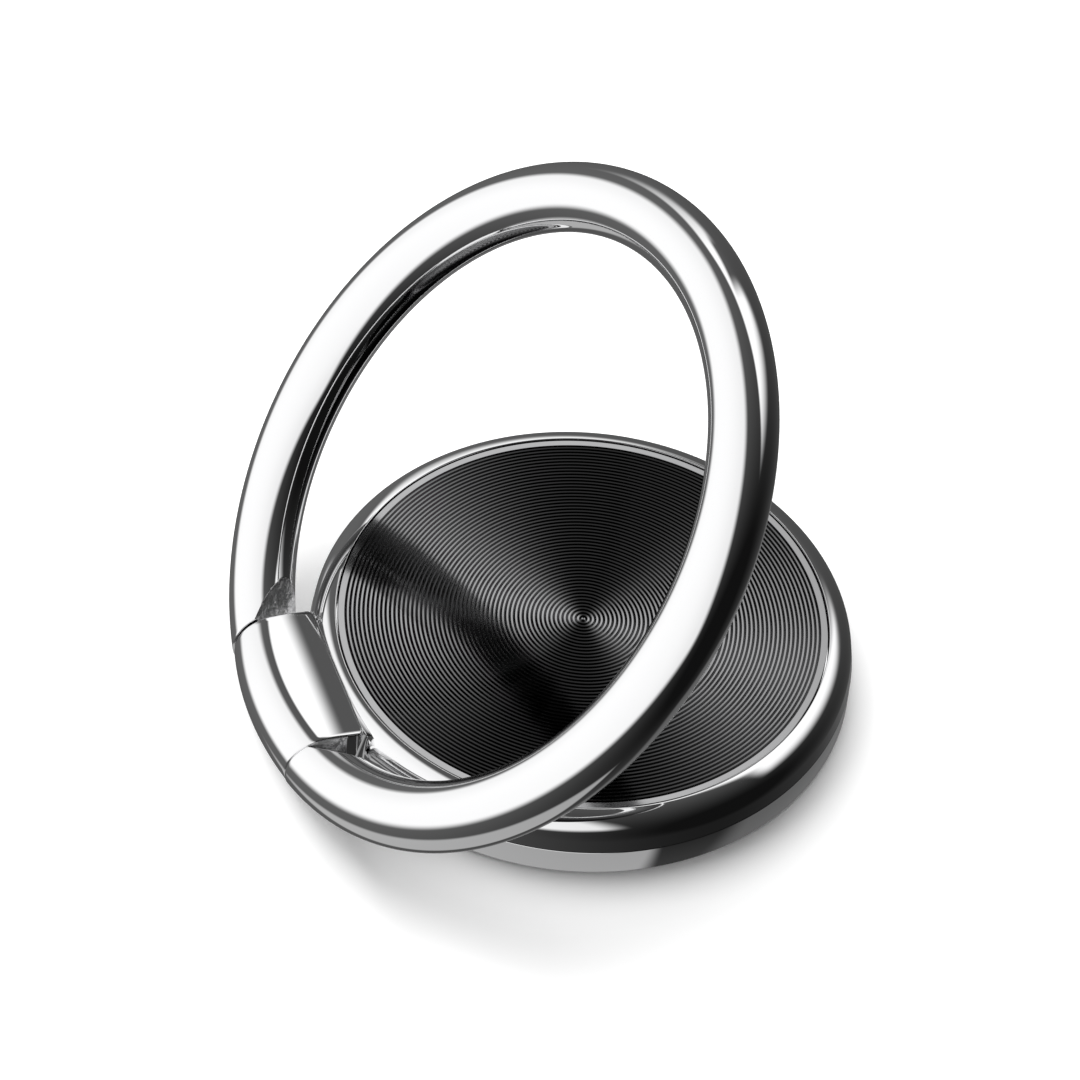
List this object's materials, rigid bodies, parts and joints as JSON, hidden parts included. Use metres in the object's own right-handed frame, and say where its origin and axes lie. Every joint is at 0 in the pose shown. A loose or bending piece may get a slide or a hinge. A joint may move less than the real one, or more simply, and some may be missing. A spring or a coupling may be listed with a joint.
{
  "type": "phone ring holder",
  "caption": "Round chromed phone grip with a grooved black disc, a base that swivels on an adhesive pad, and a hinged finger ring that folds flat or props the phone as a stand.",
  "frame": {"origin": "centre of the adhesive face, on the swivel axis", "axes": "+Z out of the phone along the swivel axis; the hinge lies towards -X and runs along Y"},
  "size_m": [0.0364, 0.0408, 0.0315],
  "materials": {
    "chrome": "mirror polished chrome plate on zinc alloy",
    "black_inlay": "black anodised, fine concentric turning",
    "steel": "bare steel",
    "nylon": "natural nylon",
    "tape": "clear adhesive film",
    "pad_foam": "soft double-sided foam"
  },
  "bodies": {
    "base": {"adhesive_pad": "pad_foam", "base_plate": "chrome", "pivot_rivet": "steel", "slip_washer": "nylon", "disc_spring": "steel"},
    "housing": {"swivel_housing": "chrome", "inlay_tape": "tape", "inlay_disc": "black_inlay", "friction_sleeve": "steel"},
    "ring": {"finger_ring": "chrome", "hinge_pin": "steel"}
  },
  "joints": [
    {"name": "swivel", "type": "hinge", "parent": "base", "child": "housing", "pos_m": [0, 0, 0.002], "axis": [0, 0, 1], "continuous": true},
    {"name": "ring_hinge", "type": "hinge", "parent": "housing", "child": "ring", "pos_m": [-0.01835, 0, 0.00192], "axis": [0, -1, 0], "range_deg": [-48.8, 131.2]}
  ]
}
